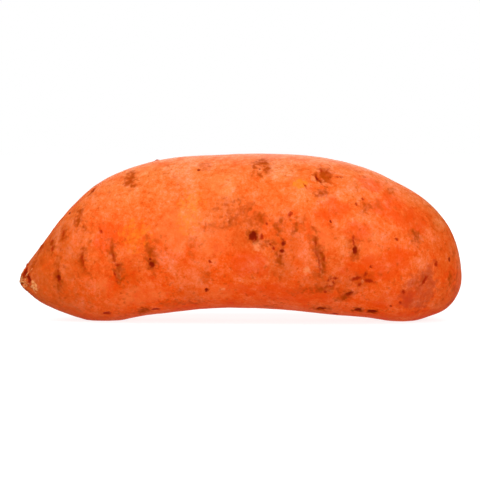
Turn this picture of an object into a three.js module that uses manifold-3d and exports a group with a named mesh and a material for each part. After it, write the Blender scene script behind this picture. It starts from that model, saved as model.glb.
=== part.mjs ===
// A whole orange-skinned sweet potato, lying as it rests on a table. Millimetres, +Z up.
// X runs along the root from its dry tip at -X to its blunt, round end at +X, and -Y is the front.
// The root bows upwards, so it stands on two small flat spots with a low arch between them.
// It grew as one piece, so it is one solid. The origin is under the middle of its box, on the table.
import * as THREE from "three";
import { mergeVertices } from "three/addons/utils/BufferGeometryUtils.js";
import Module from "manifold-3d";

// Driving dimensions.
const length = 165; // tip to blunt end
const rings = 50; // sections along the root
const corners = 44; // points round a section

// The outline. along is measured from the tip, and low and high are the underside and the back, measured
// from the table: the underside is just below it where it is pressed flat. wide is the width of the
// section as a share of its height, and side is how far its middle wanders towards +Y.
const stations = [
  { along: 0, low: 14.6, high: 14.6, wide: 1, side: 0 },
  { along: 2.2, low: 11.4, high: 20.6, wide: 0.98, side: 0.1 },
  { along: 8.2, low: 6.4, high: 28.8, wide: 0.92, side: 0.6 },
  { along: 17.2, low: 2.4, high: 40.8, wide: 0.87, side: 1 },
  { along: 30.6, low: -0.8, high: 51.9, wide: 0.87, side: 1.2 },
  { along: 48.5, low: 2.1, high: 58.4, wide: 0.9, side: 1 },
  { along: 70.9, low: 4.5, high: 61.3, wide: 0.955, side: 0.4 },
  { along: 92, low: 4.9, high: 62.5, wide: 0.985, side: -1 },
  { along: 111.2, low: 2.9, high: 61.6, wide: 0.965, side: -1.8 },
  { along: 127, low: 1.1, high: 57.7, wide: 0.935, side: -1.6 },
  { along: 142.6, low: -1.2, high: 50.5, wide: 0.905, side: -0.9 },
  { along: 151.6, low: 0.6, high: 44.7, wide: 0.895, side: 0.4 },
  { along: 160.5, low: 5.3, high: 34.4, wide: 0.91, side: 1.2 },
  { along: length, low: 15.6, high: 15.6, wide: 0.95, side: 1.6 },
];

// Round sections: 2 is an ellipse, and more is squarer. The underside is a little squarer than the back.
const backSquareness = 2.04;
const undersideSquareness = 2.3;

// Slow swellings of the surface: how deep each is, and its waves round and along the root.
const swellings = [
  { depth: 0.011, round: 2, along: 1.6, start: 0.7 },
  { depth: 0.008, round: 3, along: -2.3, start: 2.1 },
  { depth: 0.005, round: 5, along: 3.1, start: 4.4 },
];

// Sections crowd together at both ends, as the lines do on a globe.
const turnAt = (along) => Math.acos(1 - (2 * along) / length) / Math.PI;
const alongAt = (turn) => (length * (1 - Math.cos(Math.PI * turn))) / 2;

// A smooth curve through one value of the stations.
function valueAt(turn, key) {
  const last = stations.length - 1;
  const at = (i) => turnAt(stations[i].along);
  const slope = (i) => {
    const before = Math.max(i - 1, 0);
    const after = Math.min(i + 1, last);
    return (stations[after][key] - stations[before][key]) / (at(after) - at(before));
  };
  let i = 0;
  while (i < last - 1 && at(i + 1) < turn) i++;
  const span = at(i + 1) - at(i);
  const s = (turn - at(i)) / span;
  const from = stations[i][key];
  const rise = stations[i + 1][key] - from;
  const cubic = (slope(i) + slope(i + 1)) * span - 2 * rise;
  const square = 3 * rise - (2 * slope(i) + slope(i + 1)) * span;
  return from + s * (slope(i) * span + s * (square + s * cubic));
}

function swellingAt(turn, angle) {
  return swellings.reduce(
    (sum, w) => sum + w.depth * Math.sin(w.round * angle + 2 * Math.PI * w.along * turn + w.start),
    1,
  );
}

// A point on the skin. turn runs 0 to 1 along the root, and angle goes round it from +Y over the back.
function skinPoint(turn, angle) {
  const low = valueAt(turn, "low");
  const high = valueAt(turn, "high");
  const up = Math.sin(angle);
  const out = Math.cos(angle);
  const squareness = THREE.MathUtils.lerp(undersideSquareness, backSquareness, (1 + up) / 2);
  const bulge = (v) => Math.sign(v) * Math.abs(v) ** (2 / squareness);
  const half = ((high - low) / 2) * swellingAt(turn, angle);
  return new THREE.Vector3(
    alongAt(turn) - length / 2,
    valueAt(turn, "side") + valueAt(turn, "wide") * half * bulge(out),
    (low + high) / 2 + half * bulge(up),
  );
}

// The skin as one closed surface: a point at each end, and rings of points between them.
function rootGeometry() {
  const points = [skinPoint(0, 0)];
  const faces = [];
  for (let r = 1; r < rings; r++)
    for (let c = 0; c < corners; c++) points.push(skinPoint(r / rings, (2 * Math.PI * c) / corners));
  points.push(skinPoint(1, 0));
  const at = (r, c) => 1 + (r - 1) * corners + (c % corners);
  const lastPoint = points.length - 1;
  for (let c = 0; c < corners; c++) {
    faces.push(0, at(1, c + 1), at(1, c));
    for (let r = 1; r < rings - 1; r++) {
      faces.push(at(r, c), at(r, c + 1), at(r + 1, c));
      faces.push(at(r, c + 1), at(r + 1, c + 1), at(r + 1, c));
    }
    faces.push(at(rings - 1, c), at(rings - 1, c + 1), lastPoint);
  }
  return new THREE.BufferGeometry().setFromPoints(points).setIndex(faces);
}

const wasm = await Module();
wasm.setup();

function solidOf(geometry) {
  const bare = geometry.clone();
  bare.deleteAttribute("normal");
  bare.deleteAttribute("uv");
  const merged = mergeVertices(bare);
  return new wasm.Manifold(
    new wasm.Mesh({
      numProp: 3,
      vertProperties: merged.attributes.position.array,
      triVerts: new Uint32Array(merged.index.array),
    }),
  );
}

function geometryOf(solid) {
  const mesh = solid.getMesh();
  return new THREE.BufferGeometry()
    .setAttribute("position", new THREE.BufferAttribute(mesh.vertProperties, 3))
    .setIndex(new THREE.BufferAttribute(mesh.triVerts, 1));
}

// The table top takes away what lies below it, which leaves the two flat spots.
function pressedFlat(geometry) {
  const depth = 20;
  const table = new THREE.BoxGeometry(2 * length, length, depth).translate(0, 0, -depth / 2);
  return geometryOf(solidOf(geometry).subtract(solidOf(table)));
}

// Puts the origin under the middle of the box.
function centred(geometry) {
  geometry.computeBoundingBox();
  const middle = geometry.boundingBox.getCenter(new THREE.Vector3());
  return geometry.translate(-middle.x, -middle.y, 0);
}

const skin = new THREE.MeshStandardMaterial({ color: 0xf0682c, roughness: 0.55, metalness: 0 });
const root = new THREE.Mesh(centred(pressedFlat(rootGeometry())), skin);
root.name = "sweet_potato";

const part = new THREE.Group();
part.add(root);

export default part;
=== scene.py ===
import math

import bpy
import numpy as np
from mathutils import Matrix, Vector, noise


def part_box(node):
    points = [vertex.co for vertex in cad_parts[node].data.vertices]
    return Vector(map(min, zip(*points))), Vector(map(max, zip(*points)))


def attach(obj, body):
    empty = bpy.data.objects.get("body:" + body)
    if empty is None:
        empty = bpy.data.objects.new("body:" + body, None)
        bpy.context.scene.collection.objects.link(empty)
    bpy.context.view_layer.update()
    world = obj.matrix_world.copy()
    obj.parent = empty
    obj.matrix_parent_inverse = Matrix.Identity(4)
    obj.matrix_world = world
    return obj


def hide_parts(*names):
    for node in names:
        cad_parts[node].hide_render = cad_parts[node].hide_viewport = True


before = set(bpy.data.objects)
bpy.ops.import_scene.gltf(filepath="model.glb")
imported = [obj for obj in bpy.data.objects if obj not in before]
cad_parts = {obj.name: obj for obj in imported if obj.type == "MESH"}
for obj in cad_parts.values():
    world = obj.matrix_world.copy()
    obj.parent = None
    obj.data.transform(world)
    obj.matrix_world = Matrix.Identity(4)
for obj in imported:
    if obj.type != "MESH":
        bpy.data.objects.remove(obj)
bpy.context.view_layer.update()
boxLow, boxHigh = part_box("sweet_potato")
boxSize = boxHigh - boxLow
boxMiddle = (boxLow + boxHigh) / 2
mm = 0.001
scene = bpy.context.scene
print("frame loaded: the root is", " x ".join(f"{side / mm:.1f}" for side in boxSize), "mm")

# The camera looks along +Y from just above the table.
shot = {
    "lens": 200,  # mm, long, so that the near side isn't drawn too large
    "sensor": 36,  # mm
    "elevation": 3,  # degrees above level
    "fieldWidth": 1.086,  # width of the view, in lengths of the root
    "aimAlong": -0.4,  # mm from the middle of the box to the middle of the view
    "aimUp": -1.1,
}


def makeCamera(cfg):
    data = bpy.data.cameras.new("camera")
    data.lens = cfg["lens"]
    data.sensor_width = cfg["sensor"]
    data.dof.use_dof = False
    data.clip_start = 0.01
    data.clip_end = 50
    camera = bpy.data.objects.new("camera", data)
    distance = boxSize.x * cfg["fieldWidth"] * cfg["lens"] / cfg["sensor"]
    tilt = math.radians(cfg["elevation"])
    aim = boxMiddle + Vector((cfg["aimAlong"], 0, cfg["aimUp"])) * mm
    camera.location = aim + Vector((0, -math.cos(tilt), math.sin(tilt))) * distance
    camera.rotation_euler = (math.pi / 2 - tilt, 0, 0)
    scene.collection.objects.link(camera)
    scene.camera = camera
    return camera


camera = makeCamera(shot)
print("camera placed")

# The bare outline, in mm: how far along from the tip, the height of the underside and of the back over
# the table, the width as a share of the height, and how far the middle wanders towards +Y.
rootShape = {
    "length": 165,
    "outline": np.array(
        [
            (0, 14.6, 14.6, 1, 0),
            (2.2, 11.4, 20.6, 0.98, 0.1),
            (8.2, 6.4, 28.8, 0.92, 0.6),
            (17.2, 2.4, 40.8, 0.87, 1),
            (30.6, -0.8, 51.9, 0.87, 1.2),
            (48.5, 2.1, 58.4, 0.9, 1),
            (70.9, 4.5, 61.3, 0.955, 0.4),
            (92, 4.9, 62.5, 0.985, -1),
            (111.2, 2.9, 61.6, 0.965, -1.8),
            (127, 1.1, 57.7, 0.935, -1.6),
            (142.6, -1.2, 50.5, 0.905, -0.9),
            (151.6, 0.6, 44.7, 0.895, 0.4),
            (160.5, 5.3, 34.4, 0.91, 1.2),
            (165, 15.6, 15.6, 0.95, 1.6),
        ]
    ),
    "backSquareness": 2.04,  # 2 is an ellipse
    "undersideSquareness": 2.3,
    # slow swellings: depth as a share of the half height, waves round and along, and where they start
    "swellings": [(0.011, 2, 1.6, 0.7), (0.008, 3, -2.3, 2.1), (0.005, 5, 3.1, 4.4)],
    "capWidth": 72,  # quads across the cap on each end, a quarter of the points round
    "rings": 272,  # rings of quads between the caps
    "capReach": 19,  # mm over the skin from each pole to the edge of its cap
    "reachSteps": 4000,  # steps along the root in which the skin's length is measured
    "mapGap": 0.01,  # between the parts of the UV map, as a share of its width
    "mapRadius": 29,  # mm, of a round root whose girth would fill the map's width
}


# A smooth curve through one column of the outline, read where turn runs 0 to 1 from tip to blunt end.
def outlineValue(cfg, turn, column):
    at = np.arccos(1 - 2 * cfg["outline"][:, 0] / cfg["length"]) / math.pi
    values = cfg["outline"][:, column]
    before = np.maximum(np.arange(len(at)) - 1, 0)
    after = np.minimum(np.arange(len(at)) + 1, len(at) - 1)
    slope = (values[after] - values[before]) / (at[after] - at[before])
    i = np.clip(np.searchsorted(at, turn, side="right") - 1, 0, len(at) - 2)
    span = at[i + 1] - at[i]
    s = (turn - at[i]) / span
    rise = values[i + 1] - values[i]
    cubic = (slope[i] + slope[i + 1]) * span - 2 * rise
    square = 3 * rise - (2 * slope[i] + slope[i + 1]) * span
    return values[i] + s * (slope[i] * span + s * (square + s * cubic))


# Points of the bare skin, in mm from the tip, with angle going round from +Y over the back.
def skinPoints(cfg, turn, angle):
    low = outlineValue(cfg, turn, 1)
    high = outlineValue(cfg, turn, 2)
    up = np.sin(angle)
    out = np.cos(angle)
    under, back = cfg["undersideSquareness"], cfg["backSquareness"]
    power = 2 / (under + (back - under) * (1 + up) / 2)
    swelling = 1 + sum(
        depth * np.sin(waves * angle + 2 * math.pi * along * turn + start)
        for depth, waves, along, start in cfg["swellings"]
    )
    half = (high - low) / 2 * swelling
    x = cfg["length"] * (1 - np.cos(math.pi * turn)) / 2
    bulge = np.sign(out) * np.abs(out) ** power
    y = outlineValue(cfg, turn, 4) + outlineValue(cfg, turn, 3) * half * bulge
    z = (low + high) / 2 + half * np.sign(up) * np.abs(up) ** power
    return np.column_stack([x, y, z])


# How far over the skin, in mm, the tip is from each turn. It is measured along the front shoulder, halfway
# between the front and the top of the back.
def skinReach(cfg):
    turn = np.linspace(0, 1, cfg["reachSteps"] + 1)
    shoulder = math.pi * 0.75
    line = skinPoints(cfg, turn, np.full_like(turn, shoulder))
    steps = np.linalg.norm(np.diff(line, axis=0), axis=1)
    reach = np.concatenate([[0], np.cumsum(steps)])
    return turn, reach


# Where a point of the square over a pole goes: how far out, as a share of the cap, and its angle. a and b
# run from -1 to 1 over the square.
def capPlace(a, b):
    far = max(abs(a), abs(b))
    if far == 0:
        return 0, 0
    if abs(a) >= abs(b):
        return far, math.pi / 4 * b / a + (0 if a > 0 else math.pi)
    return far, math.pi / 2 - math.pi / 4 * a / b + (0 if b > 0 else math.pi)


# The grid of the skin: rings of quads along the root, and a square of quads over each pole. Returns the
# turn and angle of each point, the quads, and for each corner of a quad its place in the UV map.
def skinGrid(cfg):
    turns, reach = skinReach(cfg)
    whole = reach[-1]
    n, rings, cap = cfg["capWidth"], cfg["rings"], cfg["capReach"]
    around = 4 * n
    rowReach = np.linspace(cap, whole - cap, rings + 1)
    reachAt = [np.repeat(rowReach, around)]
    angleAt = [np.tile(2 * math.pi * np.arange(around) / around, rings + 1)]
    quads, places = [], []
    # the map: the rings fill the lower part, and the caps stand side by side above them
    gap = cfg["mapGap"]
    wide = 1 - 2 * gap
    scale = wide / (2 * math.pi * cfg["mapRadius"])  # of the map's width, per mm of skin
    tall = (whole - 2 * cap) * scale
    side = 2 * cap * scale
    for r in range(rings):
        for c in range(around):
            here, beside = r * around + c, r * around + (c + 1) % around
            quads.append((here, beside, beside + around, here + around))
            u0, u1 = (gap + wide * k / around for k in (c, c + 1))
            v0, v1 = (gap + tall * k / rings for k in (r, r + 1))
            places.append(((u0, v0), (u1, v0), (u1, v1), (u0, v1)))
    count = around * (rings + 1)
    for end in (0, 1):
        ids = {}
        capReachAt, capAngleAt = [], []
        for p in range(n + 1):
            for q in range(n + 1):
                far, angle = capPlace(2 * p / n - 1, 2 * q / n - 1)
                if p in (0, n) or q in (0, n):
                    c = round(angle / (2 * math.pi) * around) % around
                    ids[p, q] = c + (rings * around if end else 0)
                else:
                    ids[p, q] = count
                    count += 1
                    capReachAt.append(far * cap if end == 0 else whole - far * cap)
                    capAngleAt.append(angle)
        reachAt.append(np.array(capReachAt))
        angleAt.append(np.array(capAngleAt))
        left = gap + end * (side + gap)
        base = 2 * gap + tall
        for p in range(n):
            for q in range(n):
                corners = [(p, q), (p + 1, q), (p + 1, q + 1), (p, q + 1)]
                if end == 0:
                    corners.reverse()
                quads.append(tuple(ids[k] for k in corners))
                places.append(tuple((left + side * i / n, base + side * j / n) for i, j in corners))
    reachAt = np.concatenate(reachAt)
    return np.interp(reachAt, reach, turns), np.concatenate(angleAt), quads, np.array(places)


turn, angle, quads, places = skinGrid(rootShape)
bare = skinPoints(rootShape, turn, angle)
print("skin grid:", len(bare), "points,", len(quads), "quads")

# What each kind of mark does to the skin. depth is how far its middle sinks and lip how far its edge
# rises, in mm, rough is the height of the crumbs on it, and colours lists the colour layers that it lays,
# each with its strength and its reach as a share of the mark's own.
markKinds = {
    "pit": {
        "depth": 1.1,
        "lip": 0.12,
        "rough": 0.05,
        "colours": [("scab", 0.8, 1), ("cork", 1, 1.3), ("stain", 0.7, 1.8)],
    },
    "dot": {"depth": 0.3, "lip": 0.05, "rough": 0, "colours": [("scab", 1, 1.15)]},
    "redDot": {"depth": 0.15, "lip": 0.03, "rough": 0, "colours": [("rust", 1, 1.1)]},
    "slit": {"depth": 0.5, "lip": 0.14, "rough": 0.04, "colours": [("scab", 1, 0.9), ("cork", 0.8, 1.4)]},
    "crease": {"depth": 0.25, "lip": 0.06, "rough": 0, "colours": [("rust", 0.9, 1.1)]},
    "scar": {"depth": 0.22, "lip": 0.1, "rough": 0.08, "colours": [("cork", 0.7, 1), ("stain", 0.6, 1.5)]},
    "smear": {
        "depth": 0.12,
        "lip": 0.05,
        "rough": 0.05,
        "colours": [("cork", 0.5, 0.8), ("stain", 0.8, 1.3)],
    },
    "cork": {"depth": -0.15, "lip": 0, "rough": 0.14, "colours": [("cork", 1, 1), ("stain", 0.5, 1.3)]},
    "stain": {"depth": 0, "lip": 0, "rough": 0.04, "colours": [("stain", 0.6, 1.05)]},
    "peel": {"depth": 0.12, "lip": 0.04, "rough": 0.03, "colours": [("newSkin", 0.9, 1)]},
    "flake": {"depth": 0.1, "lip": 0.06, "rough": 0.02, "colours": [("amber", 1.6, 1.1)]},
    "amber": {"depth": 0, "lip": 0, "rough": 0, "colours": [("amber", 0.12, 1)]},
    "ember": {"depth": 0, "lip": 0, "rough": 0, "colours": [("ember", 0.6, 1.1)]},
    "haze": {"depth": 0, "lip": 0, "rough": 0, "colours": [("haze", 0.6, 1.1)]},
    "bloom": {"depth": 0, "lip": 0, "rough": 0, "colours": [("bloom", 0.6, 1.1)]},
    "bruise": {"depth": 0.15, "lip": 0, "rough": 0, "colours": [("bruise", 0.7, 1.1)]},
    "deadSkin": {"depth": 0.4, "lip": 0.2, "rough": 0.3, "colours": [("scab", 1, 1), ("rust", 0.8, 1.3)]},
    # pale dry fibre at the tip, and one painted highlight line on its dead skin
    "huskAndHighlight": {"depth": -0.2, "lip": 0, "rough": 0.35, "colours": [("fibreAndHighlight", 1, 1.3)]},
    "nub": {"depth": -0.5, "lip": 0, "rough": 0.12, "colours": [("cork", 0.9, 1.2), ("rust", 0.5, 1.1)]},
}

# The marks on the front: how far along from the tip and how high over the table they look from the front,
# then the length and the width, all in mm, how far the length leans from upright towards the blunt end, in
# degrees, and for some how far both their ends bend towards the blunt end, in mm.
frontMarks = {
    "pit": [(87.3, 31.4, 3.4, 2.9, 0)],
    "dot": [
        (98.1, 29, 2.1, 1.3, 5),
        (97.8, 26.4, 1.3, 1, 0),
        (69.6, 11.6, 1.4, 1.1, 0),
        (66.8, 56.2, 1.2, 1, 0),
        (89.5, 56.8, 1, 0.8, 0),
        (18.5, 40.1, 1.2, 1, 0),
        (49, 20.8, 2.1, 1.6, 0),
        (48.4, 22.5, 1.4, 1, 0),
        (125.3, 26.2, 2.6, 1.6, 0),
        (14.3, 15.8, 2.2, 1.4, 0),
        (123, 9.8, 2.2, 0.8, 58),
        (115.9, 36.9, 0.7, 0.6, 0),
        (160.3, 22.9, 1.1, 0.9, 0),
        (138.4, 5.4, 0.8, 0.7, 0),
    ],
    "redDot": [
        (90.4, 31.6, 2.2, 1.3, 0),
        (94.6, 27.3, 1.4, 1, 80),
        (97.3, 24.3, 1, 0.9, 0),
        (71, 22.3, 1, 0.9, 0),
        (101, 40, 1.8, 1.3, 50),
        (92.2, 36, 0.8, 0.7, 0),
        (93.3, 28.7, 0.8, 0.7, 0),
        (112.4, 25.6, 1.5, 1.1, 60),
        (23.3, 21.3, 2.2, 1.1, 0),
        (155.4, 21.2, 1.8, 1.2, 40),
        (113.3, 22.8, 1.8, 1, 0),
        (113.8, 10.8, 1.3, 1, 70),
        (126.7, 13.2, 1.7, 1.1, 40),
        (129.4, 17.4, 1.9, 1, 30),
        (130.8, 20, 1.2, 0.8, 60),
        (143.4, 10.5, 1.4, 1.1, 0),
        (141.8, 6.6, 1.1, 0.9, 0),
        (125.4, 43.4, 1.1, 0.8, 0),
        (127.9, 45, 1.1, 0.8, 0),
        (140.6, 30.2, 0.9, 1.2, 0),
        (30.1, 33.2, 1.3, 1.1, 0),
        (12, 29.2, 2.2, 1.7, 0),
        (12.3, 26.8, 1.6, 1.2, 0),
    ],
    "slit": [
        (27.2, 48.4, 2.3, 1.1, 50),
        (110.9, 53.3, 4.2, 1.2, -20, 0.4),
        (126.3, 3.8, 2.8, 2.6, 85),
        (131.5, 3.3, 3.4, 2.2, 85),
        (112.5, 4.4, 4, 1.6, 80),
    ],
    "crease": [
        (14.3, 16.4, 5, 0.7, -6, 0.3),
        (16.2, 31.9, 3, 1.1, 8),
        (23, 22.9, 5.3, 1.1, -4, 0.7),
        (36.6, 20.7, 2, 1, 80),
        (50.6, 4.5, 2.4, 1.6, 85),
        (34.9, 24, 5, 0.7, -14),
        (35.5, 17.4, 4.2, 0.6, -14),
        (32.3, 2.9, 2.8, 1.8, 80),
        (122.6, 9.4, 3.4, 1, 58),
        (121.2, 8, 2.2, 0.7, 50),
        (106.3, 50.2, 1.8, 0.5, -30),
        (110.4, 29, 3, 0.8, -5),
        (111.3, 22.8, 7, 0.6, -14, -0.5),
        (112.7, 56.2, 3.6, 0.7, 0),
        (114.6, 55.4, 4, 0.6, 22),
        (115.7, 53.4, 2.8, 0.6, 30),
        (118.4, 53.8, 1.4, 0.6, 60),
        (120, 53.5, 1.2, 0.6, 60),
        (115, 14.6, 2.2, 0.6, 30),
        (116.9, 13.9, 1.8, 0.6, -30),
        (115.9, 12.5, 2, 0.6, 80),
        (117.9, 15.4, 2, 0.8, 80),
        (125.8, 15.8, 3.4, 1.5, 80),
        (130, 14.6, 3, 1.4, 105),
        (124.5, 30, 3.2, 0.7, -8),
        (118, 2.6, 2.6, 1.6, 85),
        (150.8, 14.8, 4, 1.1, 40),
    ],
    "scar": [
        (41.2, 53.2, 7.6, 3.3, -3),
        (5.6, 22.6, 6, 1.3, 42),
        (21.8, 39, 5.6, 2.7, 6),
        (23.4, 35.2, 3.2, 1.2, -30),
        (49.3, 21.4, 4.2, 2.6, 0),
        (48.8, 25.4, 4.4, 1.9, -4),
        (125.4, 26.4, 4.4, 2, 0),
        (122, 9.4, 5, 2.2, 58),
        (89.4, 54.3, 1.8, 1.4, 0),
        (45.9, 3.8, 3.7, 4, 85),
        (112.6, 4.4, 4.4, 3, 85),
        (129, 41.6, 1.4, 1.2, 0),
        (160.6, 15, 2.2, 1.2, 10),
    ],
    "smear": [
        (14.2, 15.8, 7, 1.7, -4),
        (16.1, 31.8, 4, 1.5, 8),
        (12.2, 27.6, 4.6, 2, 0),
        (22.9, 22.6, 6.2, 1.5, -4, 0.7),
        (34.9, 24, 5.4, 1.4, -14),
        (37, 18.2, 5, 2.4, -10),
        (97.6, 36.2, 1.8, 1.4, 0),
        (96.3, 33.6, 2.2, 1.3, -20),
        (93.4, 29.2, 1.2, 2.2, 0),
        (97.4, 22, 5.8, 1.8, 0),
        (90, 38.4, 2.6, 2.6, 30),
        (102.6, 34.4, 2.6, 1, 0),
        (147.4, 31.4, 3.6, 3, 0),
        (110.5, 28.4, 4.6, 1, -5),
        (112.8, 22.4, 7, 2, -10),
        (110.9, 11.2, 4, 1.4, 85),
    ],
    "deadSkin": [(1.8, 18, 3.4, 1.8, 30), (3.1, 15.8, 3.2, 1.5, -20)],
    "huskAndHighlight": [
        (1.5, 14, 2.8, 2, 0),
        # a painted highlight: a thin pale line across the dark dead skin
        (2.5, 17.3, 2.2, 0.7, 50),
        (5, 12.6, 3.2, 2.4, -15),
    ],
    "cork": [
        (114, 53.9, 7.8, 4.2, 10),
        (90, 58.8, 6, 4.6, 0),
        (87.8, 57.3, 6, 1.6, 0),
        (92, 57, 6.6, 2.2, 0),
        (82.6, 43.2, 1.6, 1.6, 0),
        (85.2, 42, 1.4, 2, 0),
        (80, 44.6, 1.2, 1.6, 0),
        (78.6, 37.2, 1.1, 1.2, 0),
        (112.4, 47.3, 2.6, 3.8, 0),
    ],
    "stain": [
        (6, 20.6, 8, 3, 55),
        (147.5, 31, 6.4, 5.4, 0),
        (10, 27.7, 8, 2.6, 35),
        (80.4, 41.3, 15, 7.5, 80),
        (86.6, 37.6, 8, 4, 80),
        (74.6, 35.3, 11, 3, 80),
        (69.2, 58, 4.5, 4, 0),
        (104.5, 37.5, 3.4, 3.4, 0),
        (63.9, 27.1, 3.6, 1.3, 0),
        (51.2, 28.6, 3.4, 1.6, -10),
        (69.6, 16.7, 4.4, 4, 0),
        (67, 7, 4.6, 2, 70),
        (104, 10.8, 4, 2, 80),
        (125.2, 50, 2.8, 1.6, 60),
        (139, 48, 4.8, 2.6, 40),
        (130.8, 42.3, 8, 4, 60),
        (109, 31.1, 6.2, 1.7, -12),
        (111.4, 15.4, 9, 4, -8),
        (116.4, 13.9, 4.8, 3.8, 30),
        (128.2, 15.2, 8, 4.6, 70),
        (150.5, 15, 6, 2.8, 55),
        (162, 24.6, 3, 1.8, 0),
        (162.4, 12, 4.6, 2.2, -20),
        (57.4, 6.4, 9, 3, 85),
        (92.7, 5.2, 4, 1.4, 85),
        (163.2, 19, 6, 1.6, -6),
        (161, 7, 7, 2, 40),
    ],
    "peel": [
        (89.6, 56.4, 3.4, 1.8, 0),
        (88.2, 28.2, 4.6, 3, 0),
        (104.5, 37.5, 1.6, 1.6, 0),
        (107.4, 18.8, 3.2, 2.6, 0),
        (109.6, 53, 5.4, 1.4, -20, 0.8),
        (113.2, 51.6, 3, 2.4, 0),
        (36.5, 17.2, 3, 1.1, -10),
        (112.3, 20.8, 5, 1.1, -12),
        (116.2, 13.9, 1.8, 1.5, 0),
        (127.8, 14.6, 1.4, 1, 0),
        (75.9, 11.7, 1.4, 1.4, 0),
    ],
    "flake": [(104.8, 50.9, 4.4, 3.6, 80)],
    "amber": [
        (63.9, 44.2, 3.4, 3, 0),
        (62.7, 36.3, 3, 2.6, 0),
        (43, 32, 5, 4, 0),
    ],
    "ember": [
        (147, 37.5, 12, 9, 95),
        (136.5, 41.3, 14, 6, 110),
        (145.5, 2.5, 8, 4, 85),
        (130.3, 18.2, 22, 6, 95),
        (98.4, 10, 38, 8, 92),
        (85.4, 20.6, 12, 9, 90),
        (33, 31, 13, 9, 60),
        (140, 22, 12, 8, 80),
        (139, 7, 14, 7, 85),
        (139, 45, 9, 7, 90),
        (126, 33, 9, 7, 80),
        (129.3, 20.2, 7, 5, 40),
        (108.5, 49.2, 2.6, 2, 0),
        (117, 41, 11, 8, 90),
        (131, 51, 9, 8, 100),
    ],
    "haze": [
        (86, 32, 14, 12, 0),
        (99, 30, 13, 12, 0),
        (112, 13, 16, 9, 80),
        (125, 15, 12, 8, 80),
        (98, 20, 10, 8, 0),
        (19, 28, 22, 10, -20),
        (159, 22, 28, 9, -8),
        (147, 37.5, 9, 7, 95),
        (40, 17, 12, 8, 0),
        (62, 10, 8, 7, 80),
    ],
    "bloom": [
        (58.4, 34, 15, 11, 0),
        (72, 30, 12, 10, 20),
        (45, 9, 15, 8, 80),
        (45, 56, 9, 12, 0),
        (112.4, 31, 8, 6, 0),
        (76, 52, 9, 10, 80),
        (76, 11, 10, 6, 80),
        (131, 28, 9, 7, 0),
        (31.5, 13.6, 4, 3.4, 0),
    ],
    "bruise": [(149, 10.5, 13, 12, 80), (151.3, 16.7, 8, 5, 50)],
    "nub": [(51.4, 59.7, 2.4, 1.9, 0), (8, 27.8, 3.4, 2.2, 0), (2.6, 21, 2.2, 1.8, 0)],
}

# Marks on the skin that faces away: how many of each kind, and the least and most length and width in mm.
# Most old rootlet scars lie across the root.
hiddenMarks = {
    "seed": 41,
    "facingAway": 0.1,  # least share of a point's normal along +Y
    "clearOfTip": 6,  # mm
    "longShape": 1.5,  # a mark is long when its length is more than this many widths
    "longLean": 14,  # degrees, how widely long marks lean either way
    "roundLean": 60,  # degrees, for the other marks
    "draws": {
        "pit": (5, (1.6, 3), (1.5, 2.8)),
        "dot": (44, (0.7, 2), (0.6, 1.5)),
        "redDot": (12, (1, 2.2), (0.8, 1.6)),
        "slit": (12, (2, 6), (0.9, 1.4)),
        "crease": (10, (2.5, 8), (0.7, 1.2)),
        "scar": (15, (3, 8), (1.5, 2.6)),
        "smear": (14, (3, 9), (1.5, 2.6)),
        "cork": (4, (3.5, 6), (3, 5)),
        "stain": (18, (3, 13), (2, 6)),
        "peel": (12, (1.5, 6), (1.2, 3)),
        "flake": (2, (3, 5), (2, 3)),
        "amber": (4, (3, 6), (3, 4)),
        "ember": (10, (7, 15), (5, 8)),
        "bloom": (8, (7, 15), (6, 11)),
        "haze": (4, (10, 18), (7, 12)),
        "bruise": (1, (8, 12), (3, 5)),
        "nub": (5, (1.2, 1.8), (1.2, 1.6)),
    },
}

# The unevenness of the skin, the dry tip, the flecks, the dust with the painted sheen on the back, and what
# all marks share.
relief = {
    "waves": [(0.32, 19), (0.12, 6.5), (0.05, 2.2)],  # slow waves: height and size in mm
    "tipReach": 11,  # mm from the tip over which the skin is dry and wrinkled
    "tipFolds": 13,  # round the root
    "tipFoldDepth": 0.5,  # mm
    "tipFoldWander": 4,  # how much the folds run crooked
    "tipCrumbs": 0.3,  # mm
    # for each colour layer how far it reaches from the tip and how ragged its edge is, in mm
    "tipLayers": [("stain", 9, 6), ("cork", 3.5, 3), ("scab", 1, 3), ("fibreAndHighlight", 2.5, 3)],
    "dryReach": 39,  # mm from the tip over which the skin turns from brown to orange
    "fleckLevel": 0.65,  # how many flecks there are all over
    "fleckClouds": 0.8,  # how strongly they gather in clouds
    "fleckCloudSize": 9,  # mm
    "fleckCloudShift": 57,
    "flecksByStain": 0.45,  # how strongly they gather round stains and cork
    "flecksByCork": 0.3,
    # how much paler and pinker the back turns: dust, and a painted sheen from the light overhead
    "dustAndSheenOnBack": 0.6,
    # grain of the marks' edges: share, size in mm and shift, and of the crumbs: size in mm and shift
    "wobble": [(1, 1.6, 7), (0.6, 0.8, 19)],
    "crumbs": (0.9, 31),
    # as shares of a mark's radius: where its rim stands, how wide it is, how far the crumbs go, and how far
    # out the skin is looked at, at least
    "rimAt": 1.2,
    "rimWidth": 0.28,
    "crumbReach": 1.3,
    "markReach": 1.6,
    "markMargin": 3,  # mm more that are looked at, as the edge is ragged
    "markWrap": 0.2,  # least cosine between the normals of a mark's middle and of the skin it covers
    "edgeWobble": 0.3,  # how ragged the marks' edges are, as a share of their size
    "tableSoftness": 0.2,  # mm over which the skin rounds into the flat spots
}


# Noise from -1 to 1 with grains of the given size. Each shift reads it in another place.
def noiseAt(points, size, shift=0.0):
    offset = Vector((shift, shift * 0.37, -shift * 0.61))
    return np.array([noise.noise(Vector(p) / size + offset) for p in points])


# Blender's own normals of the bare skin.
def bareNormals(points):
    mesh = bpy.data.meshes.new("bareSkin")
    mesh.from_pydata(points.tolist(), [], quads)
    normals = np.zeros(len(points) * 3, np.float32)
    mesh.vertex_normals.foreach_get("vector", normals)
    bpy.data.meshes.remove(mesh)
    return normals.reshape(-1, 3).astype(float)


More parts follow.
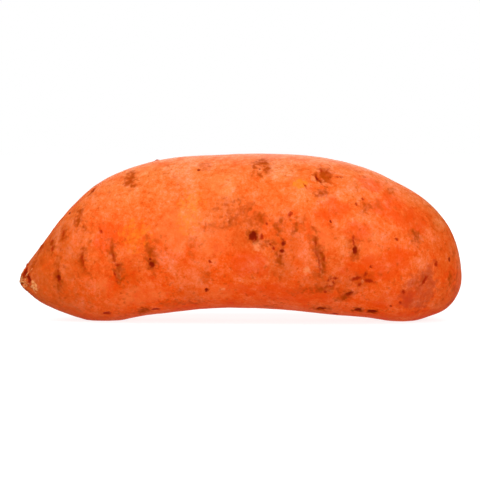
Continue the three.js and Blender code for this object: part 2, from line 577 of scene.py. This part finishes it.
layerNames = ["dry", "haze", "bloom", "ember", "amber", "newSkin", "bruise"]
layerNames += ["fleck", "stain", "rust", "cork", "scab", "fibreAndHighlight"]
outside, ceiling = -1.5, 0.5  # what a colour layer holds where no mark reaches, and at most inside one
skin = {
    "points": bare,
    "normals": bareNormals(bare),
    "height": np.zeros(len(bare)),
    "layers": {name: np.full(len(bare), outside) for name in layerNames},
}
wobble = sum(share * noiseAt(bare, size, shift) for share, size, shift in relief["wobble"])
crumbs = noiseAt(bare, *relief["crumbs"])


# Lays one mark round the point with the given index. A colour layer holds how far inside the mark's edge
# each point lies, in mm, times the strength, and falls to its least value outside.
def layMark(kind, at, length, width, lean, bend=0):
    cfg = markKinds[kind]
    half = min(length, width) / 2
    widest = max([relief["markReach"]] + [spread for _, _, spread in cfg["colours"]])
    gap = skin["points"] - skin["points"][at]
    farthest = max(length, width) / 2 * widest + abs(bend) + relief["markMargin"]
    near = np.flatnonzero((gap**2).sum(1) < farthest**2)
    normal = skin["normals"][at]
    near = near[skin["normals"][near] @ normal > relief["markWrap"]]
    gap = gap[near]
    # along the root, or upwards on its ends
    along = np.array([1.0, 0, 0]) if abs(normal[0]) < 0.9 else np.array([0, 0, 1.0])
    along = along - normal * (along @ normal)
    along /= np.linalg.norm(along)
    across = np.cross(normal, along)
    turned = math.radians(lean)
    longWay = across * math.cos(turned) + along * math.sin(turned)
    wideWay = np.cross(longWay, normal)
    a = gap @ longWay / (length / 2)
    b = (gap @ wideWay - bend * a**2) / (width / 2)
    r = np.hypot(a, b) * (1 + relief["edgeWobble"] * wobble[near])
    inside = np.clip(1 - r**2, 0, 1) ** 1.5
    rim = np.exp(-(((r - relief["rimAt"]) / relief["rimWidth"]) ** 2))
    skin["height"][near] += cfg["lip"] * rim - cfg["depth"] * inside
    skin["height"][near] += cfg["rough"] * crumbs[near] * np.clip(relief["crumbReach"] - r, 0, 1)
    for name, strength, spread in cfg["colours"]:
        layer = skin["layers"][name]
        layer[near] = np.maximum(layer[near], np.minimum(strength * half * (spread - r), ceiling))


# Where the points look to be from the front, against an upright board through the middle of the root.
# Points that face away are put far off it.
def seenFromFront(points, normals):
    eye = np.array((camera.location - Vector((boxLow.x, boxMiddle.y, boxLow.z))) / mm)
    gap = points - np.array([0, (bare[:, 1].min() + bare[:, 1].max()) / 2, 0]) - eye
    seen = eye + gap * (-eye[1] / gap[:, 1:2])
    farOff = 1e6
    return np.where((normals * gap).sum(1) < 0, seen[:, 0], farOff), seen[:, 2]


def layFrontMarks(marks):
    seenAlong, seenUp = seenFromFront(skin["points"], skin["normals"])
    for kind, rows in marks.items():
        for along, up, *shape in rows:
            at = int(np.argmin(np.hypot(seenAlong - along, seenUp - up)))
            layMark(kind, at, *shape)


layFrontMarks(frontMarks)
print("front marks laid:", sum(len(rows) for rows in frontMarks.values()))


def layHiddenMarks(cfg):
    facing = skin["normals"][:, 1] > cfg["facingAway"]
    away = np.flatnonzero(facing & (bare[:, 0] > cfg["clearOfTip"]))
    draw = np.random.default_rng(cfg["seed"])
    for kind, (count, lengths, widths) in cfg["draws"].items():
        for _ in range(count):
            at = away[draw.integers(len(away))]
            length, width = draw.uniform(*lengths), draw.uniform(*widths)
            leanSpread = cfg["longLean"] if length > cfg["longShape"] * width else cfg["roundLean"]
            layMark(kind, at, length, width, draw.normal(0, leanSpread))


layHiddenMarks(hiddenMarks)
print("hidden marks laid:", sum(row[0] for row in hiddenMarks["draws"].values()))


# The dry tip: folds that run into the point, and dead brown skin that breaks up over a few mm.
def dryTip(cfg):
    reach = np.linalg.norm(bare - bare[bare[:, 0].argmin()], axis=1)
    dry = np.clip(1 - reach / cfg["tipReach"], 0, 1)
    folds = np.sin(cfg["tipFolds"] * angle + cfg["tipFoldWander"] * wobble)
    skin["height"] += cfg["tipFoldDepth"] * dry * folds + cfg["tipCrumbs"] * dry * crumbs
    for name, start, edge in cfg["tipLayers"]:
        layer = skin["layers"][name]
        layer[:] = np.maximum(layer, np.clip(start - reach + edge * wobble, outside, ceiling))
    skin["layers"]["dry"] = np.clip(1 - reach / cfg["dryReach"], outside, 1)


# Flecks gather in loose clouds, and more of them round the scars. The back of the root turns paler and
# pinker, partly dust and partly a painted sheen from the light overhead, and the underside stays clean and
# saturated.
def flecksDustAndSheen(cfg):
    layers = skin["layers"]
    clouds = cfg["fleckClouds"] * noiseAt(bare, cfg["fleckCloudSize"], cfg["fleckCloudShift"])
    byStain = cfg["flecksByStain"] * np.maximum(layers["stain"], -1)
    byCork = cfg["flecksByCork"] * np.maximum(layers["cork"], -1)
    layers["fleck"] = clouds + byStain + byCork + cfg["fleckLevel"]
    # paler and pinker where the skin faces up: dust, and a painted sheen from the light overhead
    layers["dust"] = skin["normals"][:, 2] * cfg["dustAndSheenOnBack"]


flecksDustAndSheen(relief)
dryTip(relief)
for height, size in relief["waves"]:
    skin["height"] += height * noiseAt(bare, size, size)
print("relief laid, from", f"{skin['height'].min():.2f} to {skin['height'].max():.2f} mm")


# The finished skin, in the frame. It rounds softly into the table where it is pressed flat.
def makeRoot(cfg):
    points = bare + skin["normals"] * skin["height"][:, None]
    soft = cfg["tableSoftness"]
    low = np.minimum(points[:, 2], soft)
    points[:, 2] = np.where(points[:, 2] > soft, points[:, 2], soft * np.exp(low / soft - 1))
    points[:, 0] -= rootShape["length"] / 2
    points[:, 1] -= (bare[:, 1].min() + bare[:, 1].max()) / 2
    unit = boxSize.x / rootShape["length"]
    points = points * unit + np.array([boxMiddle.x, boxMiddle.y, boxLow.z])
    mesh = bpy.data.meshes.new("sweetPotatoSkin")
    mesh.from_pydata(points.tolist(), [], quads)
    mesh.shade_smooth()
    uvMap = mesh.uv_layers.new(name="OFBake")
    uvMap.data.foreach_set("uv", places.astype(np.float32).ravel())
    for name, layer in skin["layers"].items():
        attribute = mesh.attributes.new(name, "FLOAT", "POINT")
        attribute.data.foreach_set("value", layer.astype(np.float32))
    mesh.validate()
    piece = bpy.data.objects.new("sweet_potato_skin", mesh)
    scene.collection.objects.link(piece)
    return piece


root = makeRoot(relief)
print("root made")


def linear(hexColour):
    channels = [int(hexColour[i : i + 2], 16) / 255 for i in (1, 3, 5)]
    return tuple(c / 12.92 if c <= 0.04045 else ((c + 0.055) / 1.055) ** 2.4 for c in channels) + (1,)


# Adds a node with its own settings and its inputs, which are values or the sockets to link them to.
def addNode(tree, kind, settings=None, inputs=None):
    node = tree.nodes.new(kind)
    for name, value in (settings or {}).items():
        setattr(node, name, value)
    for name, value in (inputs or {}).items():
        if isinstance(value, bpy.types.NodeSocket):
            tree.links.new(value, node.inputs[name])
        else:
            node.inputs[name].default_value = value
    return node


# Raw sweet potato periderm: a thin skin of dead cork cells over orange flesh, grown in soil, then washed
# and cured. It is matt with a faint satin sheen, mottled where the cork is thicker, and brown and rough
# where rootlets broke off. Sizes are in mm.
periderm = {
    # tones from where the cork is thick and dark to where the skin is thin, clean, and paler with dust and
    # painted sheen
    "cleanTones": [(0.0, "#d02800"), (0.3, "#e64000"), (0.5, "#ea5208"), (0.7, "#f06630"), (1.0, "#f68c70")],
    # paler tones for the dust and for the painted sheen on the top
    "dustAndSheenTones": [(0.0, "#c03c00"), (0.3, "#da5a18"), (0.5, "#e47236"), (0.7, "#ec885c"), (1.0, "#f4a492")],
    "tone": 0.5,  # the middle of the tones
    # size of the largest grain, how many times it halves and what each halving keeps of its strength, and
    # how much it sways the tone or the dust
    "mottle": {"size": 14, "halvings": 5, "keep": 1, "sway": 1.6},
    "dustiness": 0.4,
    "dustClouds": {"size": 22, "halvings": 2, "keep": 0.7, "sway": 1.7},
    "roughness": 0.5,
    "corkRoughness": 0.35,  # added where the skin is corky
    "grain": [(1.1, 0.5), (0.45, 0.5)],  # bump: grain size and share
    "grainHeight": 0.03,
    "ior": 1.45,
    "specular": 0.03,  # low, as dry cork hardly shines
    # the orange flesh glows through a little: share, reach of red, green and blue, and its scale in mm
    "glow": 0.1,
    "glowReach": (1.0, 0.3, 0.1),
    "glowScale": 1.5,
    "layers": {
        # crumb is the grain that breaks the layer's edge up, by how many mm, bar how far inside its edge
        # the layer shows by half, soft over how many mm it fades in, and cover how much of the colour
        # below it hides
        "dry": {"colour": "#b44c10", "crumb": 2.5, "breakUp": 1, "bar": 0.35, "soft": 1.2, "cover": 0.7},
        "haze": {"colour": "#c04808", "crumb": 4, "breakUp": 3, "bar": 0.1, "soft": 2.8, "cover": 0.35},
        "bloom": {"colour": "#fa9050", "crumb": 4, "breakUp": 3, "bar": 0.1, "soft": 2.4, "cover": 0.25},
        "ember": {"colour": "#e24000", "crumb": 4, "breakUp": 3, "bar": 0.1, "soft": 1.8, "cover": 0.6},
        "amber": {"colour": "#f07c1c", "crumb": 1.3, "breakUp": 2.4, "bar": 0.1, "soft": 1.6, "cover": 0.75},
        "newSkin": {"colour": "#f48e58", "crumb": 1.2, "breakUp": 2, "bar": 0.1, "soft": 1.2, "cover": 0.7},
        "bruise": {"colour": "#a83420", "crumb": 2.4, "breakUp": 3, "bar": 0, "soft": 2.8, "cover": 0.55},
        "stain": {"colour": "#b4440c", "crumb": 2.2, "breakUp": 4.5, "bar": 0.2, "soft": 2.4, "cover": 0.5},
        "fleck": {"colour": "#ac3800", "crumb": 1.4, "breakUp": 6, "bar": 1.1, "soft": 1.5, "cover": 0.45},
        "rust": {
            "colour": "#a42300",
            "crumb": 0.9,
            "breakUp": 0.7,
            "bar": -0.02,
            "soft": 0.7,
            "cover": 0.96,
        },
        "cork": {"colour": "#a43b00", "crumb": 1.6, "breakUp": 4, "bar": 0.12, "soft": 2, "cover": 0.93},
        "scab": {"colour": "#861900", "crumb": 1.1, "breakUp": 1, "bar": -0.05, "soft": 0.7, "cover": 1},
        # pale tan of dry fibre, also used for a painted highlight on the tip's dead skin
        "fibreAndHighlight": {"colour": "#e89a5e", "crumb": 1.1, "breakUp": 3, "bar": 0.2, "soft": 0.9, "cover": 0.8},
    },
}


def makePeriderm(cfg):
    material = bpy.data.materials.new("curedSweetPotatoPeriderm")
    material.use_nodes = True
    tree = material.node_tree
    tree.nodes.clear()
    coordinate = addNode(tree, "ShaderNodeTexCoord")
    toMm = {"Vector": coordinate.outputs["Object"], "Scale": 1 / mm}
    place = addNode(tree, "ShaderNodeVectorMath", {"operation": "SCALE"}, toMm).outputs[0]

    # the tone, and the dust with the painted sheen, each swayed about its middle by its own grain, which is
    # 0.5 on average
    dust = addNode(tree, "ShaderNodeAttribute", {"attribute_name": "dust"})
    settled = {0: dust.outputs["Fac"], 1: cfg["dustiness"]}
    dustAndSheenLevel = addNode(tree, "ShaderNodeMath", {"operation": "ADD"}, settled)
    swayed = []
    for middle, grain in ((cfg["tone"], cfg["mottle"]), (dustAndSheenLevel.outputs[0], cfg["dustClouds"])):
        texture = addNode(
            tree,
            "ShaderNodeTexNoise",
            None,
            {
                "Vector": place,
                "Scale": 1 / grain["size"],
                "Detail": grain["halvings"],
                "Roughness": grain["keep"],
            },
        )
        evened = addNode(tree, "ShaderNodeMath", {"operation": "SUBTRACT"}, {0: texture.outputs[0], 1: 0.5})
        sway = {0: evened.outputs[0], 1: grain["sway"], 2: middle}
        swayed.append(addNode(tree, "ShaderNodeMath", {"operation": "MULTIPLY_ADD"}, sway).outputs[0])
    tone, dustAndSheenLevel = swayed
    tones = []
    for stops in (cfg["cleanTones"], cfg["dustAndSheenTones"]):
        ramp = addNode(tree, "ShaderNodeValToRGB", None, {0: tone})
        for i, (stop, colour) in enumerate(stops):
            at = ramp.color_ramp.elements[i] if i < 2 else ramp.color_ramp.elements.new(stop)
            at.position = stop
            at.color = linear(colour)
        tones.append(ramp.outputs[0])
    dustAndSheenLevel = addNode(tree, "ShaderNodeClamp", None, {0: dustAndSheenLevel}).outputs[0]
    mixed = {"data_type": "RGBA"}
    # mixes the clean tones towards the paler ones of the dust and the painted sheen
    colour = addNode(tree, "ShaderNodeMix", mixed, {0: dustAndSheenLevel, 6: tones[0], 7: tones[1]}).outputs[2]

    # the colour layers, from the lowest up
    masks = {}
    for name, layer in cfg["layers"].items():
        field = addNode(tree, "ShaderNodeAttribute", {"attribute_name": name})
        grain = {"Vector": place, "Scale": 1 / layer["crumb"], "Detail": 1}
        crumb = addNode(tree, "ShaderNodeTexNoise", None, grain)
        broken = {0: crumb.outputs[0], 1: layer["breakUp"], 2: field.outputs["Fac"]}
        ragged = addNode(tree, "ShaderNodeMath", {"operation": "MULTIPLY_ADD"}, broken)
        edge = layer["bar"] + layer["breakUp"] / 2
        low, high = edge - layer["soft"] / 2, edge + layer["soft"] / 2
        fade = {0: ragged.outputs[0], 1: low, 2: high, 3: 0, 4: layer["cover"]}
        mask = addNode(tree, "ShaderNodeMapRange", {"interpolation_type": "SMOOTHSTEP"}, fade)
        masks[name] = mask.outputs[0]
        over = {0: masks[name], 6: colour, 7: linear(layer["colour"])}
        colour = addNode(tree, "ShaderNodeMix", mixed, over).outputs[2]

    corky = {0: masks["cork"], 1: cfg["corkRoughness"], 2: cfg["roughness"]}
    roughness = addNode(tree, "ShaderNodeMath", {"operation": "MULTIPLY_ADD"}, corky)
    height = 0.0
    for size, share in cfg["grain"]:
        grain = addNode(tree, "ShaderNodeTexNoise", None, {"Vector": place, "Scale": 1 / size, "Detail": 2})
        raised = {0: grain.outputs[0], 1: share, 2: height}
        height = addNode(tree, "ShaderNodeMath", {"operation": "MULTIPLY_ADD"}, raised).outputs[0]
    bump = addNode(tree, "ShaderNodeBump", None, {"Height": height, "Distance": cfg["grainHeight"] * mm})
    shader = addNode(
        tree,
        "ShaderNodeBsdfPrincipled",
        None,
        {
            "Base Color": colour,
            "Roughness": roughness.outputs[0],
            "Normal": bump.outputs[0],
            "IOR": cfg["ior"],
            "Specular IOR Level": cfg["specular"],
            "Subsurface Weight": cfg["glow"],
            "Subsurface Radius": cfg["glowReach"],
            "Subsurface Scale": cfg["glowScale"] * mm,
        },
    )
    addNode(tree, "ShaderNodeOutputMaterial", None, {"Surface": shader.outputs[0]})
    return material


root.data.materials.append(makePeriderm(periderm))
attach(root, "root")
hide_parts("sweet_potato")
print("skin material made")

# A light table of cast opal acrylic: matt white and lit from below, more so further out, so that shadows
# stay pale and its far edge is as white as the tent.
tableTop = {
    "colour": "#909090",
    "roughness": 0.6,
    "glowSeen": (0.84, 1),  # by the root and far away
    "glowReach": (0.1, 1.2),  # m from the root
    "glowLight": 0.5,  # how much of it lights the root
    "side": 6,  # m
    "gap": 0.05,  # mm under the root, so that the two don't share a face
}


def makeTable(cfg):
    half = cfg["side"] / 2
    level = boxLow.z - cfg["gap"] * mm
    corners = [(x, y, level) for x, y in ((-half, -half), (half, -half), (half, half), (-half, half))]
    mesh = bpy.data.meshes.new("tableTop")
    mesh.from_pydata(corners, [], [(0, 1, 2, 3)])
    material = bpy.data.materials.new("castOpalAcrylic")
    material.use_nodes = True
    tree = material.node_tree
    tree.nodes.clear()
    coordinate = addNode(tree, "ShaderNodeTexCoord")
    spot = {0: coordinate.outputs["Object"]}
    away = addNode(tree, "ShaderNodeVectorMath", {"operation": "LENGTH"}, spot)
    (nearGlow, farGlow), (nearReach, farReach) = cfg["glowSeen"], cfg["glowReach"]
    seen = addNode(
        tree,
        "ShaderNodeMapRange",
        {"interpolation_type": "SMOOTHSTEP"},
        {0: away.outputs["Value"], 1: nearReach, 2: farReach, 3: nearGlow, 4: farGlow},
    )
    ray = addNode(tree, "ShaderNodeLightPath")
    split = {0: ray.outputs["Is Camera Ray"], 3: cfg["glowLight"], 4: seen.outputs[0]}
    glow = addNode(tree, "ShaderNodeMapRange", None, split)
    shader = addNode(
        tree,
        "ShaderNodeBsdfPrincipled",
        None,
        {
            "Base Color": linear(cfg["colour"]),
            "Roughness": cfg["roughness"],
            "Specular IOR Level": 0,
            "Emission Color": (1, 1, 1, 1),
            "Emission Strength": glow.outputs[0],
        },
    )
    addNode(tree, "ShaderNodeOutputMaterial", None, {"Surface": shader.outputs[0]})
    mesh.materials.append(material)
    table = bpy.data.objects.new("table_top", mesh)
    scene.collection.objects.link(table)


makeTable(tableTop)

# Soft studio light: a white tent all round, and soft boxes over, in front of and behind the root.
studio = {
    "tentSeen": 1,  # how bright the tent looks behind the root
    "tentLight": 0.1,  # how much of it lights the root
    "boxSide": 0.6,  # m
    # for each soft box its power in W and its place in m from the middle of the root
    "softBoxes": {
        "overLeft": (5.2, (-0.5, -0.25, 0.7)),
        "overRight": (3.6, (0.5, -0.25, 0.7)),
        "front": (5.5, (0, -0.9, 0.3)),
        "behind": (4.6, (0, 0.8, 0.45)),
    },
}


def makeLight(cfg):
    world = bpy.data.worlds.new("whiteTent")
    world.use_nodes = True
    tree = world.node_tree
    tree.nodes.clear()
    ray = addNode(tree, "ShaderNodeLightPath")
    split = {0: ray.outputs["Is Camera Ray"], 3: cfg["tentLight"], 4: cfg["tentSeen"]}
    strength = addNode(tree, "ShaderNodeMapRange", None, split)
    white = {"Color": (1, 1, 1, 1), "Strength": strength.outputs[0]}
    tent = addNode(tree, "ShaderNodeBackground", None, white)
    addNode(tree, "ShaderNodeOutputWorld", None, {"Surface": tent.outputs[0]})
    scene.world = world
    for name, (power, place) in cfg["softBoxes"].items():
        data = bpy.data.lights.new(name, "AREA")
        data.energy = power
        data.size = cfg["boxSide"]
        box = bpy.data.objects.new(name, data)
        box.location = boxMiddle + Vector(place)
        box.rotation_euler = Vector(place).to_track_quat("Z", "Y").to_euler()
        box.visible_camera = False
        scene.collection.objects.link(box)
    scene.view_settings.view_transform = "Standard"


makeLight(studio)
print("table and light made")
